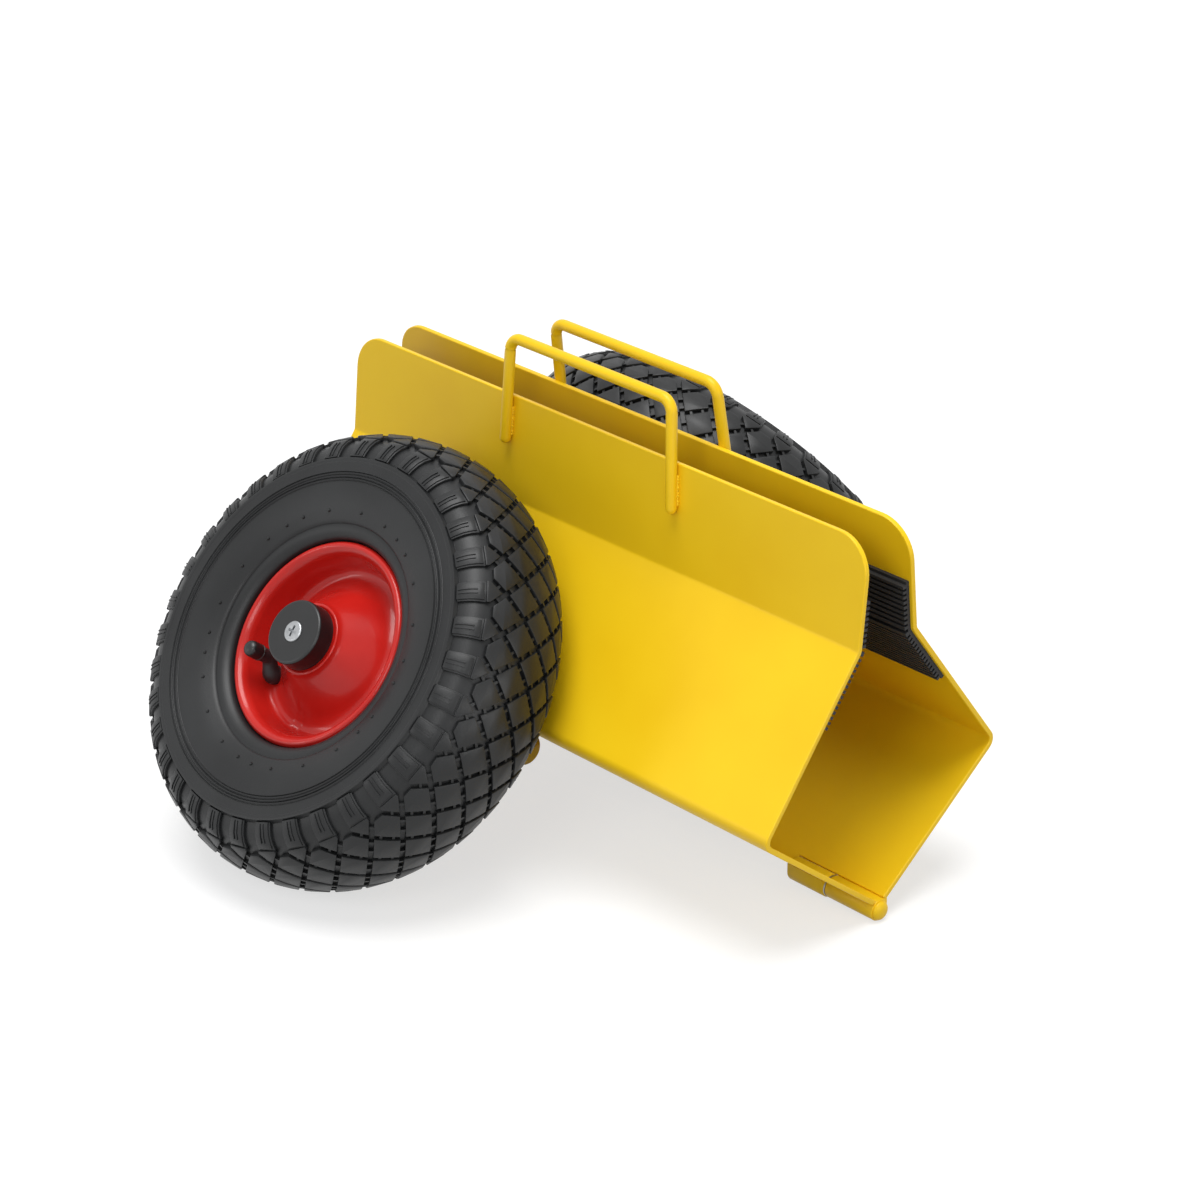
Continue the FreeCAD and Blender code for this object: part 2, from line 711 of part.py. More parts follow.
def rim_outer_disc():
    """Outer rim disc with the boss and hole for the valve."""
    valley_back = rim_valley_station - rim_sheet / 2
    boss_top = valley_back + valve_boss_height
    boss = valve_place(rod(valve_boss_diameter, rim_valley_station, boss_top))
    inside_seat = rod(2 * (rim_seat_inner_radius - rim_sheet), rim_valley_station, boss_top)
    hole = valve_place(rod(valve_hole, valley_back - overrun, boss_top + overrun))
    return rim_disc().fuse(boss.common(inside_seat)).cut(hole).removeSplitter()


def valve_stem():
    """Rubber valve stem: plug in the rim, shaft, and thread under the cap."""
    plug_start = rim_valley_station - rim_sheet / 2
    plug_end = plug_start + valve_boss_height + valve_plug_height
    stem = rod(valve_hole - 2 * seat_gap, plug_start, plug_end)
    stem = stem.fuse(rod(valve_stem_diameter, plug_start, valve_stem_top))
    return valve_place(stem.fuse(rod(valve_thread_diameter, plug_start, valve_thread_top)).removeSplitter())


def valve_cap():
    """Hollow screw cap over the valve's thread."""
    start = valve_stem_top + seat_gap
    cap = rod(valve_cap_diameter, start, valve_cap_top)
    top_edges = [edge for edge in cap.Edges if edge.CenterOfMass.z > valve_cap_top - seat_gap]
    cap = cap.makeFillet(valve_cap_dome, top_edges)
    thread_space = rod(valve_thread_diameter + 2 * seat_gap, start - overrun, valve_thread_top + seat_gap)
    return valve_place(cap.cut(thread_space))


def hub():
    """Hub tube with a bearing seat in each end."""
    body = tube(hub_middle_bore, hub_diameter, -half_hub, half_hub)
    seat = rod(bearing_outside + 2 * axle_fit, bearing_start - seat_gap, half_hub + overrun)
    for cutter in both_ends(seat):
        body = body.cut(cutter)
    return body


def ball_groove():
    """Ring that cuts the ball groove into both rings of the outer bearing."""
    pitch = bearing_pitch_radius()
    centre = FreeCAD.Vector(0, 0, bearing_start + bearing_width / 2)
    return Part.makeTorus(pitch, bearing_ball_diameter / 2 + bearing_ball_clearance, centre)


def bearing_pitch_radius():
    """Radius of the circle through the balls' centres."""
    return (axle_diameter + bearing_outside) / 4


def inner_ring():
    """Inner ring of the outer bearing."""
    bore = axle_diameter + 2 * axle_fit
    return tube(bore, axle_diameter + 2 * bearing_ring_wall, bearing_start, bearing_end).cut(ball_groove())


def outer_ring():
    """Outer ring of the outer bearing."""
    bore = bearing_outside - 2 * bearing_ring_wall
    return tube(bore, bearing_outside, bearing_start, bearing_end).cut(ball_groove())


def bearing_balls():
    """Balls of the outer bearing."""
    balls = []
    for index in range(bearing_ball_count):
        angle = 2 * math.pi * index / bearing_ball_count
        place = FreeCAD.Vector(math.cos(angle), math.sin(angle), 0) * bearing_pitch_radius()
        place.z = bearing_start + bearing_width / 2
        balls.append(Part.makeSphere(bearing_ball_diameter / 2, place))
    return balls


def bearing_seal():
    """Thin seal ring in the outer face of the outer bearing."""
    inner = axle_diameter + 2 * bearing_ring_wall + 2 * running_gap
    outer = bearing_outside - 2 * bearing_ring_wall - 2 * axle_fit
    end = bearing_end - bearing_seal_inset
    return tube(inner, outer, end - bearing_seal_thickness, end)


def hub_cap():
    """Plastic cap over the hub's end, with a recess for the washer and a counterbore for the screw head."""
    start = half_hub + running_gap
    washer_end = bearing_end + washer_thickness
    cap = rod(hub_diameter, start, cap_outer_face)
    rim_edges = [edge for edge in cap.Edges if edge.CenterOfMass.z > cap_outer_face - seat_gap]
    cap = cap.makeFillet(cap_edge_radius, rim_edges)
    head_seat = cap_outer_face + screw_head_proud - screw_head_height
    cap = cap.cut(rod(axle_collar_diameter + 2 * seat_gap, start - overrun, washer_end))
    cap = cap.cut(rod(screw_diameter + 2 * cap_screw_clearance, start, cap_outer_face))
    return cap.cut(rod(screw_head_diameter + 2 * seat_gap, head_seat, cap_outer_face + overrun))


def retaining_screw():
    """Screw through the cap into the axle, with a domed head and a cross recess."""
    head_start = cap_outer_face + screw_head_proud - screw_head_height
    head_end = head_start + screw_head_height
    head = rod(screw_head_diameter, head_start, head_end)
    top_edges = [edge for edge in head.Edges if edge.CenterOfMass.z > head_end - seat_gap]
    head = head.makeFillet(screw_head_dome, top_edges)
    screw = head.fuse(rod(screw_diameter, head_start - screw_length, head_start))
    slot_sizes = ((screw_recess_length, screw_recess_width), (screw_recess_width, screw_recess_length))
    for length, width in slot_sizes:
        slot = Part.makeBox(length, width, screw_recess_depth + overrun)
        place = FreeCAD.Vector(-length / 2, -width / 2, head_end - screw_recess_depth)
        screw = screw.cut(slot.translated(place))
    return screw.removeSplitter()


def axle_collar():
    """Ring on the axle between the jaw and the inner bearing."""
    start = base_width + half_sheet + axle_collar_clearance - wheel_station
    return tube(axle_diameter + 2 * axle_fit, axle_collar_diameter, start, -bearing_end)


def wheel_pieces():
    """Pieces about the right axle, each a list of solids in the axle's own frame."""
    bore = axle_diameter + 2 * axle_fit
    band_reach = rim_valley_station - rim_sheet / 2
    band = tube(2 * band_radius - band_thickness, 2 * band_radius + band_thickness, -band_reach, band_reach)
    washer_hole = screw_diameter + 2 * washer_clearance
    washer = tube(washer_hole, axle_collar_diameter, bearing_end, bearing_end + washer_thickness)
    all_balls = [ball for one in bearing_balls() for ball in both_ends(one)]
    return {
        "axle": [axle()],
        "axle_collar": [axle_collar()],
        "bearing_inner_rings": both_ends(inner_ring()),
        "bearing_spacer": [tube(bore, spacer_diameter, -bearing_start, bearing_start)],
        "retaining_washer": [washer],
        "hub_cap": [hub_cap()],
        "retaining_screw": [retaining_screw()],
        "hub": [hub()],
        "bearing_outer_rings": both_ends(outer_ring()),
        "bearing_balls": all_balls,
        "bearing_seals": both_ends(bearing_seal()),
        "rim_outer_disc": [rim_outer_disc()],
        "rim_inner_disc": [rim_disc().mirror(FreeCAD.Vector(), FreeCAD.Vector(0, 0, 1))],
        "rim_band": [band],
        "valve_stem": [valve_stem()],
        "valve_cap": [valve_cap()],
        "tyre": [tyre()],
        "inner_tube": [inner_tube()],
    }


def all_pieces():
    """Every node's list of solids in the level body frame."""
    pieces = {}
    right = {name: [solid.transformed(axle_frame.toMatrix()) for solid in solids]
             for name, solids in wheel_pieces().items()}
    right["jaw_plate"] = [jaw_plate()]
    right["handle"] = [handle()]
    right["grip_pad"] = [grip_pad()]
    for name, solids in right.items():
        pieces["right_" + name] = solids
        pieces["left_" + name] = [other_side(solid) for solid in solids]
    left_knuckle = knuckle(half_length - outer_knuckle_length, half_length, -1)
    right_knuckle = knuckle(inner_knuckle_start, inner_knuckle_end, 1)
    front = {"left_{}_knuckle": left_knuckle, "right_{}_knuckle": right_knuckle, "{}_hinge_pin": hinge_pin()}
    for name, shape in front.items():
        pieces[name.format("front")] = [shape]
        pieces[name.format("rear")] = [shape.mirror(FreeCAD.Vector(), along_hinge)]
    washer = hinge_washer()
    pieces["hinge_washers"] = [washer, washer.mirror(FreeCAD.Vector(), along_hinge)]
    return pieces


def lowest_point_gap(pitch):
    """How much lower the tyres reach than the front pin head, with the body pitched nose-down by an angle."""
    up = FreeCAD.Vector(-math.sin(pitch), 0, math.cos(pitch))
    tilt = abs(up.dot(along_base))
    spread = math.sqrt(1 - tilt ** 2)
    outline = tyre_section().discretize(Distance=seat_gap)
    reach = max(abs(point.z) * tilt + point.x * spread for point in outline)
    nose = hinge_axis_point + along_hinge * (half_length + hinge_play + pin_head_length - pin_head_dome)
    nose_height = up.dot(nose) - knuckle_radius * math.cos(pitch)
    return nose_height - (up.dot(wheel_centre) - reach)


def rest_pitch():
    """Angle at which the tyres and the front pin head touch the ground together."""
    low = 0.0
    high = slope / 2
    for halving in range(pitch_halvings):
        middle = (low + high) / 2
        if lowest_point_gap(middle) > 0:
            low = middle
        else:
            high = middle
    return low


def main():
    pieces = all_pieces()
    pitch = rest_pitch()
    rotation = FreeCAD.Rotation(FreeCAD.Vector(0, 1, 0), math.degrees(pitch))
    turned = {}
    for name, solids in pieces.items():
        turned[name] = [solid.transformed(FreeCAD.Placement(FreeCAD.Vector(), rotation).toMatrix())
                        for solid in solids]
    box = Part.makeCompound([solid for solids in turned.values() for solid in solids]).optimalBoundingBox()
    shift = FreeCAD.Vector(-box.Center.x, -box.Center.y, -box.ZMin)
    os.makedirs("parts", exist_ok=True)
    for name, solids in turned.items():
        moved = [solid.translated(shift) for solid in solids]
        shape = moved[0] if len(moved) == 1 else Part.makeCompound(moved)
        shape.exportStep("parts/" + name + ".step")
        print(name, len(solids), all(solid.isValid() for solid in moved), round(shape.Volume, 1))
    print("pitch", math.degrees(pitch), "shift", shift, "size", box.XLength, box.YLength, box.ZLength)


main()
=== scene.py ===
# %% [markdown]
# # A door dolly, dressed in Blender
# A door dolly is a low two-wheeled carrier. Two bent steel jaws are hinged along the bottom, and the
# weight of a door set between them closes them on it. The CAD model already has every piece at its
# real size, so this lesson keeps those solids where they are right, gives each one a finish, and
# builds the pieces that need more shape than a plain solid: treaded tyres, pressed rims, valves,
# handles with their welds, hinge knuckles and pins, and jaw plates with soft edges.

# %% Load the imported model
import bmesh
import bpy
import json
import math
from mathutils import Matrix, Vector


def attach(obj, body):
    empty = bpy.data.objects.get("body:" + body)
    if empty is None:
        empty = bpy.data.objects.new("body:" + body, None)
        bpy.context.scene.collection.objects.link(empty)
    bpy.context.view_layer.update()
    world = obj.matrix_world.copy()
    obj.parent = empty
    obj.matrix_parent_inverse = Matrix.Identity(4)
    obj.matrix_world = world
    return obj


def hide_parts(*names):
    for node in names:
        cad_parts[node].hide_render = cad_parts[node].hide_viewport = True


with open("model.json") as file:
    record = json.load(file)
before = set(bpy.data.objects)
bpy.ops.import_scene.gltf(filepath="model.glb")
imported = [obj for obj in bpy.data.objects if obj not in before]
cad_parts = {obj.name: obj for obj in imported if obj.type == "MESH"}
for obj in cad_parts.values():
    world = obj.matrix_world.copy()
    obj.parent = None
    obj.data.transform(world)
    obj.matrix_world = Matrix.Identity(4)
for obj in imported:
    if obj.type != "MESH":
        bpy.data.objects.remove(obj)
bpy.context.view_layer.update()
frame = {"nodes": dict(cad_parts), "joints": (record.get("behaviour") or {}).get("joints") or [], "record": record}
joints = {joint["name"]: joint for joint in frame["joints"]}

# %% [markdown]
# Blender works in metres and a maker thinks in millimetres, so sizes below are written in millimetres
# and multiplied by `mm`. Each wheel leans with its jaw. Its own axes come from the joint that it turns
# on: X runs along the hinge, Y points up in the plane of the wheel and Z points outwards along the axle.

# %% Units and the two wheels' own axes
mm = 0.001
sides = ("right", "left")
along_hinge = -Vector(joints["jaw_hinge"]["axis"])


def wheel_axes(side):
    """Matrix from a wheel's own axes to the dolly's frame; the left one is a mirror image."""
    joint = joints[side + "_wheel_spin"]
    outward = Vector(joint["axis"])
    upward = outward.cross(along_hinge) if side == "right" else along_hinge.cross(outward)
    place = Matrix((along_hinge, upward, outward)).transposed().to_4x4()
    place.translation = Vector(joint["pos_m"])
    return place


for side in sides:
    print(side, "wheel centre:", [round(x, 4) for x in wheel_axes(side).translation])

# %% [markdown]
# ## The camera
# The camera stands where the photographer stood, high on the right-hand front corner. The long lens
# keeps the two handles nearly parallel.

# %% Camera
camera = bpy.data.objects.new("camera", bpy.data.cameras.new("camera"))
camera.data.sensor_width = 36.0
camera.data.lens = 105.2
camera.location = (1.3425, -1.2062, 0.9169)
camera.rotation_euler = [math.radians(angle) for angle in (66.374, 2.024, 47.459)]
bpy.context.scene.collection.objects.link(camera)
bpy.context.scene.camera = camera
bpy.context.scene.view_settings.view_transform = "Standard"
print("lens in mm:", camera.data.lens)

# %% [markdown]
# ## Light and floor
# A product photo of this kind is lit by large soft boxes. A broad lamp overhead does most of the work. It
# is modelled as a sun with a wide disc, so that the floor is lit evenly to its far edge. Three soft boxes
# lift the front, the open end and the near wheel, and a pale world stands in for the studio walls.

# %% Helpers for node trees and colours


def colour(code):
    """Linear colour from an sRGB hex code."""
    channels = [int(code[i:i + 2], 16) / 255 for i in (1, 3, 5)]
    linear = [c / 12.92 if c <= 0.04045 else ((c + 0.055) / 1.055) ** 2.4 for c in channels]
    return (*linear, 1.0)


def add(tree, kind, inputs=None, **settings):
    """Add one node, set its own settings, and fill its inputs with values or links."""
    node = tree.nodes.new(kind)
    for name, value in settings.items():
        setattr(node, name, value)
    for name, value in (inputs or {}).items():
        if isinstance(value, bpy.types.NodeSocket):
            tree.links.new(value, node.inputs[name])
        else:
            node.inputs[name].default_value = value
    return node


print("white is", colour("#FFFFFF"))

# %% World
wall_strength = 0.40
world = bpy.data.worlds.new("studio")
bpy.context.scene.world = world
world.use_nodes = True
tree = world.node_tree
tree.nodes.clear()


def seen_straight(tree):
    """1 for rays that show the background: straight from the camera, in a mirror or through glass."""
    rays = add(tree, "ShaderNodeLightPath").outputs
    shiny = add(tree, "ShaderNodeMath", {0: rays["Is Glossy Ray"], 1: rays["Is Transmission Ray"]},
                operation="MAXIMUM")
    seen = add(tree, "ShaderNodeMath", {0: rays["Is Camera Ray"], 1: shiny.outputs["Value"]},
               operation="MAXIMUM")
    return seen.outputs["Value"]


walls = add(tree, "ShaderNodeBackground", {"Color": colour("#F4F6F8"), "Strength": wall_strength})
white = add(tree, "ShaderNodeBackground", {"Color": colour("#FFFFFF"), "Strength": 1.0})
shown = add(tree, "ShaderNodeMixShader", {"Fac": seen_straight(tree), 1: walls.outputs["Background"],
                                          2: white.outputs["Background"]})
add(tree, "ShaderNodeOutputWorld", {"Surface": shown.outputs["Shader"]})
print("world:", world.name, "with wall strength", wall_strength)

# %% Lamps


def soft_box(name, place, aim, width, height, power):
    """Rectangular area lamp at a place, turned towards a point."""
    lamp = bpy.data.lights.new(name, "AREA")
    lamp.shape = "RECTANGLE"
    lamp.size = width
    lamp.size_y = height
    lamp.energy = power
    box = bpy.data.objects.new(name, lamp)
    box.location = place
    box.rotation_euler = (Vector(aim) - Vector(place)).to_track_quat("-Z", "Y").to_euler()
    bpy.context.scene.collection.objects.link(box)


soft_box("front_right", place=(0.5, -0.9, 0.75), aim=(0.18, 0.0, 0.18), width=0.4, height=0.4, power=2.4)
soft_box("open_end", place=(1.6, -0.1, 0.3), aim=(0.2, 0.0, 0.1), width=0.8, height=0.5, power=4.5)
soft_box("near_wheel", place=(-0.9, -1.5, 0.5), aim=(-0.07, -0.2, 0.12), width=0.25, height=0.6, power=2.0)
overhead = bpy.data.objects.new("overhead", bpy.data.lights.new("overhead", "SUN"))
overhead.data.energy = 2.7
overhead.data.angle = math.radians(40.0)
overhead.rotation_euler = Vector((-0.06, 0.08, -0.98)).to_track_quat("-Z", "Y").to_euler()
bpy.context.scene.collection.objects.link(overhead)

# %% [markdown]
# The floor is grey paper that takes the object's shadow. Where a ray shows it as background, a glow lifts it
# to white, so the picture has a clean background without more light on the object.

# %% Floor
floor_size, floor_drop, floor_glow = 12.0, 0.2, 0.65
paper = bpy.data.materials.new("white_paper")
paper.use_nodes = True
tree = paper.node_tree
tree.nodes.clear()
shadowed = add(tree, "ShaderNodeBsdfDiffuse", {"Color": colour("#A8A8A8")})
share = add(tree, "ShaderNodeMath", {0: seen_straight(tree), 1: floor_glow}, operation="MULTIPLY")
glow = add(tree, "ShaderNodeEmission", {"Color": colour("#FFFFFF"), "Strength": share.outputs["Value"]})
lifted = add(tree, "ShaderNodeAddShader", {0: shadowed.outputs["BSDF"], 1: glow.outputs["Emission"]})
add(tree, "ShaderNodeOutputMaterial", {"Surface": lifted.outputs["Shader"]})
floor_mesh = bmesh.new()
bmesh.ops.create_grid(floor_mesh, x_segments=1, y_segments=1, size=floor_size)
floor_data = bpy.data.meshes.new("floor")
floor_mesh.to_mesh(floor_data)
floor_mesh.free()
floor_data.materials.append(paper)
floor = bpy.data.objects.new("floor", floor_data)
floor.location.z = -floor_drop * mm
bpy.context.scene.collection.objects.link(floor)
print("floor at z =", floor.location.z)

# %% [markdown]
# ## Finishes
# Each finish starts from the real material and how its surface was made. Patterns read Object
# coordinates, which are metres here, so a noise of a given size in millimetres has a scale of
# one over that size.

# %% Start and end of a finish


def per_size(size_mm):
    """Texture scale that gives features of about this size in millimetres."""
    return 1.0 / (size_mm * mm)


def new_finish(name):
    """Empty node tree of a new material, with its Object coordinates."""
    material = bpy.data.materials.new(name)
    material.use_nodes = True
    tree = material.node_tree
    tree.nodes.clear()
    place = add(tree, "ShaderNodeTexCoord").outputs["Object"]
    return material, tree, place


def close_finish(tree, **sockets):
    """Principled shader with these inputs, joined to the material's output."""
    inputs = {name.replace("_", " "): value for name, value in sockets.items()}
    shader = add(tree, "ShaderNodeBsdfPrincipled", inputs)
    add(tree, "ShaderNodeOutputMaterial", {"Surface": shader.outputs["BSDF"]})


print("a ripple of 2 mm has the scale", per_size(2.0))

# %% [markdown]
# The jaws are sheet steel with a yellow powder coat. Powder melts into a thick even film, so it has a
# soft gloss, a faint orange-peel ripple about 2 mm across, and a tone that drifts slightly where the
# film is thin.

# %% Yellow powder coat
yellow, tree, place = new_finish("yellow_powder_coat")
drift = add(tree, "ShaderNodeTexNoise", {"Vector": place, "Scale": per_size(90.0), "Detail": 3.0})
tone = add(tree, "ShaderNodeValToRGB", {"Fac": drift.outputs["Fac"]})
tone.color_ramp.elements[0].position = 0.3
tone.color_ramp.elements[0].color = colour("#ECBE10")
tone.color_ramp.elements[1].position = 0.7
tone.color_ramp.elements[1].color = colour("#F2C918")
ripple = add(tree, "ShaderNodeTexNoise", {"Vector": place, "Scale": per_size(2.2), "Detail": 2.0})
gloss = add(tree, "ShaderNodeMapRange", {"Value": drift.outputs["Fac"], "To Min": 0.34, "To Max": 0.44})
peel = add(tree, "ShaderNodeBump", {"Height": ripple.outputs["Fac"], "Strength": 0.10, "Distance": 0.4 * mm})
close_finish(tree, Base_Color=tone.outputs["Color"], Roughness=gloss.outputs["Result"],
             Normal=peel.outputs["Normal"], Specular_IOR_Level=0.3)
print("finish:", yellow.name)

# %% [markdown]
# The rims are pressed steel in red gloss enamel. Wet enamel flows out smooth before it sets, so its
# highlights are small and sharp.

# %% Red enamel
red, tree, place = new_finish("red_gloss_enamel")
drift = add(tree, "ShaderNodeTexNoise", {"Vector": place, "Scale": per_size(35.0), "Detail": 2.0})
tone = add(tree, "ShaderNodeValToRGB", {"Fac": drift.outputs["Fac"]})
tone.color_ramp.elements[0].position = 0.3
tone.color_ramp.elements[0].color = colour("#B21B16")
tone.color_ramp.elements[1].position = 0.7
tone.color_ramp.elements[1].color = colour("#C1221B")
flow = add(tree, "ShaderNodeTexNoise", {"Vector": place, "Scale": per_size(5.0), "Detail": 1.0})
sag = add(tree, "ShaderNodeBump", {"Height": flow.outputs["Fac"], "Strength": 0.06, "Distance": 0.4 * mm})
close_finish(tree, Base_Color=tone.outputs["Color"], Roughness=0.24, Normal=sag.outputs["Normal"],
             Specular_IOR_Level=0.25, Coat_Weight=0.2, Coat_Roughness=0.05)
print("finish:", red.name)

# %% [markdown]
# Tyre rubber is moulded carbon-black compound. It leaves the mould with a satin skin, a very fine
# grain, and pale patches where wax has come to the surface. The real grain is too fine to show, so it is
# drawn nearly 1 mm wide.

# %% Tyre rubber
tyre_rubber, tree, place = new_finish("moulded_tyre_rubber")
bloom = add(tree, "ShaderNodeTexNoise", {"Vector": place, "Scale": per_size(40.0), "Detail": 4.0})
tone = add(tree, "ShaderNodeValToRGB", {"Fac": bloom.outputs["Fac"]})
tone.color_ramp.elements[0].position = 0.35
tone.color_ramp.elements[0].color = colour("#161718")
tone.color_ramp.elements[1].position = 0.75
tone.color_ramp.elements[1].color = colour("#212223")
grain = add(tree, "ShaderNodeTexNoise", {"Vector": place, "Scale": per_size(0.8), "Detail": 3.0})
gloss = add(tree, "ShaderNodeMapRange", {"Value": bloom.outputs["Fac"], "To Min": 0.36, "To Max": 0.5})
skin = add(tree, "ShaderNodeBump", {"Height": grain.outputs["Fac"], "Strength": 0.25, "Distance": 0.2 * mm})
close_finish(tree, Base_Color=tone.outputs["Color"], Roughness=gloss.outputs["Result"],
             Normal=skin.outputs["Normal"], Specular_IOR_Level=0.35)
print("finish:", tyre_rubber.name)

# %% [markdown]
# The grip pads are a ribbed mat of soft black rubber, duller than the tyres. The small black parts are
# moulded plastic and valve rubber, with a fine even grain. It too is drawn coarser than it is, so that
# it shows.

# %% Pad rubber, black plastic, valve and tube rubber


def black_moulding(name, dark, light, grain_mm, grain_strength, roughness):
    """Black rubber or plastic with a fine moulded grain."""
    material, tree, place = new_finish(name)
    cloud = add(tree, "ShaderNodeTexNoise", {"Vector": place, "Scale": per_size(12.0), "Detail": 3.0})
    tone = add(tree, "ShaderNodeValToRGB", {"Fac": cloud.outputs["Fac"]})
    tone.color_ramp.elements[0].position = 0.3
    tone.color_ramp.elements[0].color = colour(dark)
    tone.color_ramp.elements[1].position = 0.7
    tone.color_ramp.elements[1].color = colour(light)
    grain = add(tree, "ShaderNodeTexNoise", {"Vector": place, "Scale": per_size(grain_mm), "Detail": 2.0})
    skin = add(tree, "ShaderNodeBump",
               {"Height": grain.outputs["Fac"], "Strength": grain_strength, "Distance": 0.2 * mm})
    close_finish(tree, Base_Color=tone.outputs["Color"], Roughness=roughness, Normal=skin.outputs["Normal"])
    return material


pad_rubber = black_moulding("ribbed_pad_rubber", "#141415", "#1D1D1F", 0.9, 0.3, 0.7)
black_plastic = black_moulding("moulded_black_plastic", "#0E0F10", "#141516", 0.7, 0.15, 0.36)
valve_rubber = black_moulding("valve_rubber", "#161617", "#1F1F21", 0.6, 0.2, 0.5)
tube_rubber = black_moulding("butyl_tube_rubber", "#1A1A1B", "#232325", 1.0, 0.2, 0.55)
print("finishes:", pad_rubber.name, black_plastic.name, valve_rubber.name, tube_rubber.name)

# %% [markdown]
# Screws, washers and collars are zinc-plated steel: metal with a pale, slightly cloudy shine. The
# bearing rings are ground steel, which is brighter.

# %% Zinc and bearing steel


def plain_metal(name, dark, light, cloud_mm, low, high):
    """Bright metal with a cloudy roughness."""
    material, tree, place = new_finish(name)
    cloud = add(tree, "ShaderNodeTexNoise", {"Vector": place, "Scale": per_size(cloud_mm), "Detail": 4.0})
    tone = add(tree, "ShaderNodeValToRGB", {"Fac": cloud.outputs["Fac"]})
    tone.color_ramp.elements[0].color = colour(dark)
    tone.color_ramp.elements[1].color = colour(light)
    gloss = add(tree, "ShaderNodeMapRange", {"Value": cloud.outputs["Fac"], "To Min": low, "To Max": high})
    close_finish(tree, Base_Color=tone.outputs["Color"], Metallic=1.0, Roughness=gloss.outputs["Result"])
    return material


zinc = plain_metal("zinc_plate", "#96989A", "#BCBEC0", 3.0, 0.28, 0.46)
bearing_steel = plain_metal("ground_bearing_steel", "#BFC1C3", "#D6D8DA", 2.0, 0.12, 0.22)
print("finishes:", zinc.name, bearing_steel.name)

# %% Give every CAD node its finish
finishes = {"yellow_paint": yellow, "red_paint": red, "pad_rubber": pad_rubber, "tyre": tyre_rubber,
            "tube_rubber": tube_rubber, "valve_rubber": valve_rubber, "black_plastic": black_plastic,
            "zinc": zinc, "bearing_steel": bearing_steel}
slot_of = {part["node"]: part["material_slot"] for part in frame["record"]["subparts"]}
for name, node in frame["nodes"].items():
    node.data.materials.clear()
    node.data.materials.append(finishes[slot_of[name]])
print("dressed", len(frame["nodes"]), "nodes")

# %% [markdown]
# ## Finishing a piece
# Every new piece ends in the same way. Its bmesh is moved into the dolly's frame, its faces are turned
# outwards, and it becomes an object that rides on its body. Round parts are shaded smooth, and edges
# sharper than an angle stay crisp.

# %% Turn a bmesh into a riding piece


def finished(name, shape, body, slot, place, sharp_angle):
    """Object of a bmesh, in the dolly's frame, that rides on a body and takes the finish of a slot."""
    bmesh.ops.transform(shape, matrix=place, verts=shape.verts)
    bmesh.ops.recalc_face_normals(shape, faces=shape.faces)
    data = bpy.data.meshes.new(name)
    shape.to_mesh(data)
    shape.free()
    data.shade_smooth()
    data.set_sharp_from_angle(angle=math.radians(sharp_angle))
    data.materials.append(finishes[slot])
    piece = bpy.data.objects.new(name, data)
    bpy.context.scene.collection.objects.link(piece)
    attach(piece, body)
    print(name, len(data.polygons), "faces")
    return piece


# %% [markdown]
# ## Tyres
# The tread is a field of diamond blocks with small ties across the grooves, and a row of lugs on each
# shoulder. It could be pressed into a fine mesh with displacement, but that rounds every edge. Here one
# pitch of tread is modelled flat, as on a drawing: u runs round the tyre, w across it from the crown and h
# is the height over the outline. The strip is copied for every pitch and then wrapped onto the wheel.

# %% Outline of the tyre, from the crown down one side
crown_radius = 130.0
outline_points = [(0.0, crown_radius), (15.0, 128.2), (28.0, 123.1), (37.5, 116.0), (41.9, 107.0),
                  (42.3, 97.5), (42.0, 88.0), (39.9, 77.5), (36.5, 68.5)]
steps_per_span = 12


def smooth_line(points, steps):
    """Points of a smooth curve through the given ones, level at its start."""
    first = (-points[1][0], points[1][1])
    last = (2 * points[-1][0] - points[-2][0], 2 * points[-1][1] - points[-2][1])
    knots = [Vector(point) for point in (first, *points, last)]
    line = []
    for before, start, end, after in zip(knots, knots[1:], knots[2:], knots[3:]):
        slope = end - before
        bend = 2 * before - 5 * start + 4 * end - after
        twist = 3 * start - before - 3 * end + after
        for step in range(steps):
            t = step / steps
            line.append(0.5 * (2 * start + slope * t + bend * t ** 2 + twist * t ** 3))
    return line + [knots[-2]]


outline = smooth_line(outline_points, steps_per_span)
reach = [0.0]
for start, end in zip(outline, outline[1:]):
    reach.append(reach[-1] + (end - start).length)


def on_outline(w, h):
    """(station, radius) in millimetres at a distance w from the crown, h over the outline."""
    run = min(abs(w), reach[-1])
    index = max(i for i, length in enumerate(reach[:-1]) if length <= run)
    start, end = outline[index], outline[index + 1]
    share = (run - reach[index]) / (reach[index + 1] - reach[index])
    along = (end - start).normalized()
    point = start.lerp(end, share) + Vector((-along.y, along.x)) * h
    return math.copysign(point.x, w), point.y


print("outline runs", round(reach[-1], 1), "mm from the crown to the bead")

# %% One pitch of tread, drawn flat
pitch_count = 35
pitch = 2 * math.pi * crown_radius / pitch_count
half_pitch = pitch / 2
row_run = 12.5
outer_row = 2 * row_run
groove = 2.8
tread_depth = 3.0
tread_edge = 32.0
block_bevel = 0.5


def raise_block(shape, corners, top, bevel):
    """Block over a flat outline of (u, w) corners, from under the casing to its top, with bevelled edges."""
    base = shape.faces.new([shape.verts.new((u, w, -tread_depth)) for u, w in corners])
    grown = bmesh.ops.extrude_face_region(shape, geom=[base])["geom"]
    top_verts = [item for item in grown if isinstance(item, bmesh.types.BMVert)]
    top_edges = [item for item in grown if isinstance(item, bmesh.types.BMEdge)]
    bmesh.ops.translate(shape, verts=top_verts, vec=(0, 0, tread_depth + top))
    if bevel > 0:
        bmesh.ops.bevel(shape, geom=top_edges, offset=bevel, offset_type="OFFSET", segments=2,
                        profile=0.5, affect="EDGES", material=-1)


